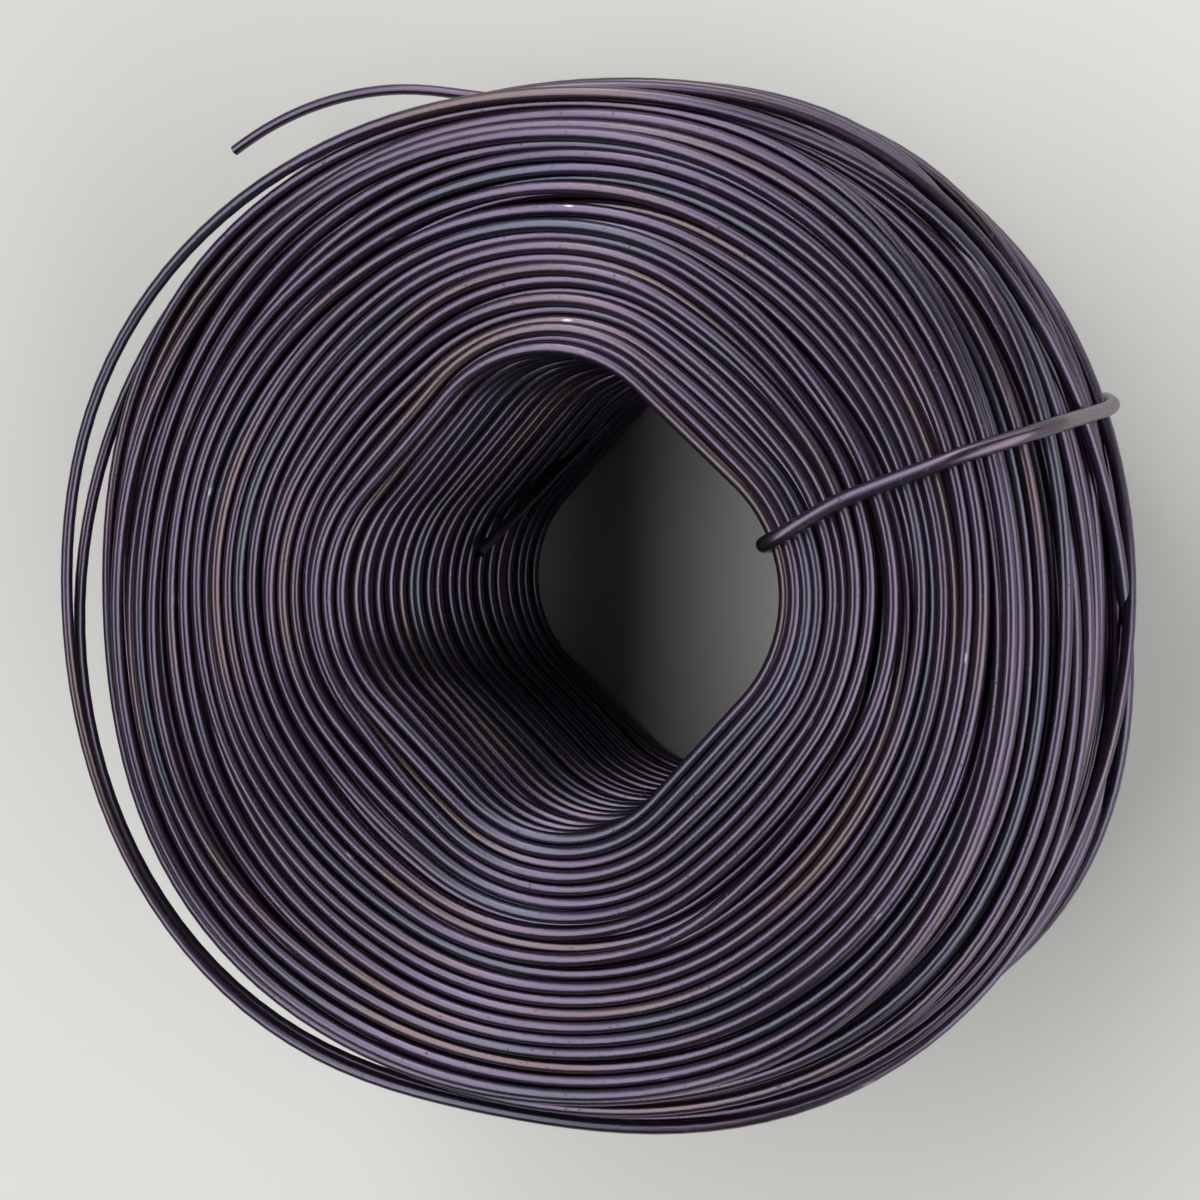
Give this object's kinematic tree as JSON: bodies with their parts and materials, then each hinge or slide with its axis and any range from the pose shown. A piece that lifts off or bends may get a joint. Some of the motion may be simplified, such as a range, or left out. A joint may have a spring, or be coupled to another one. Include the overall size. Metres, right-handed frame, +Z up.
{
  "type": "coil of tie wire",
  "caption": "Small hand coil of black annealed tie wire with a rounded square bore, a sprung outer tail and one wire tie holding the pack.",
  "frame": {"origin": "on the coil's axis at the floor the coil lies on", "axes": "+Z up along the axis of the bore; +X and +Y square to the bore's flats"},
  "size_m": [0.13, 0.1589, 0.0612],
  "materials": {
    "annealed_wire": "dark grey annealing oxide with a dull sheen"
  },
  "bodies": {
    "root": {"wire_coil": "annealed_wire", "binding_tie": "annealed_wire"}
  },
  "joints": []
}
